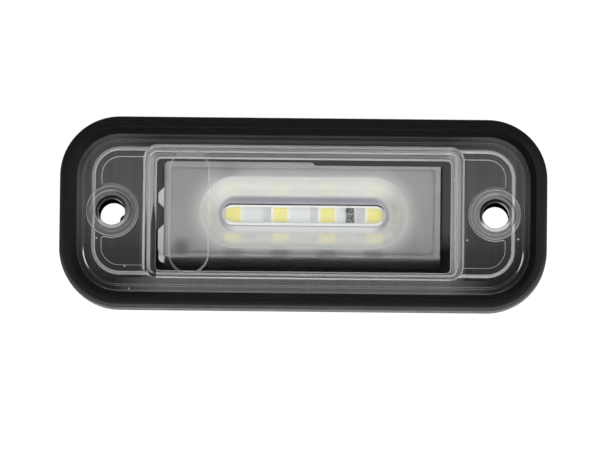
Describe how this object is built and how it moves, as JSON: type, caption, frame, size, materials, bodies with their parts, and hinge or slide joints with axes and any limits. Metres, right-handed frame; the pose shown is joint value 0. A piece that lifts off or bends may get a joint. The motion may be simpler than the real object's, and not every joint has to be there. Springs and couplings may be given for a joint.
{
  "type": "number plate lamp",
  "caption": "Flat clear-lens lamp with a black rubber surround, a screw boss at each end, a row of white diodes in a reflector and a plug socket in the back.",
  "frame": {"origin": "centre of the flat back of the housing, on the plane that it rests on", "axes": "+Z out of the lens, +X along the length to the right as seen from the lens side, +Y across the width"},
  "size_m": [0.095, 0.0374, 0.0255],
  "materials": {
    "surround_rubber": "matte black rubber with fine moulding lines",
    "clear_lens": "clear moulded acrylic, frosted on the collar under the window frame",
    "black_housing": "black moulded plastic, finely grained",
    "pale_reflector": "white-grey moulded plastic, satin, milky in the bowl",
    "white_board": "white solder mask over glass fibre",
    "led_case": "white moulded package",
    "phosphor": "yellow silicone with phosphor",
    "chip_resistor": "dark glazed chip with tinned ends",
    "chip_case": "dull black moulding compound",
    "ceramic_capacitor": "tan ceramic with tinned ends",
    "contact_blade": "tinned brass sheet",
    "vent_film": "thin white breathing film"
  },
  "bodies": {
    "root": {"surround": "surround_rubber", "lens": "clear_lens", "housing": "black_housing", "reflector": "pale_reflector", "circuit_board": "white_board", "led_1": "led_case", "led_2": "led_case", "led_3": "led_case", "led_4": "led_case", "phosphor_1": "phosphor", "phosphor_2": "phosphor", "phosphor_3": "phosphor", "phosphor_4": "phosphor", "row_resistor": "chip_resistor", "bias_resistor": "chip_resistor", "ballast_resistor": "chip_resistor", "driver_chip": "chip_case", "polarity_diode": "chip_case", "surge_diode": "chip_case", "input_capacitor": "ceramic_capacitor", "output_capacitor": "ceramic_capacitor", "supply_blade": "contact_blade", "ground_blade": "contact_blade", "vent_membrane": "vent_film"}
  },
  "joints": []
}
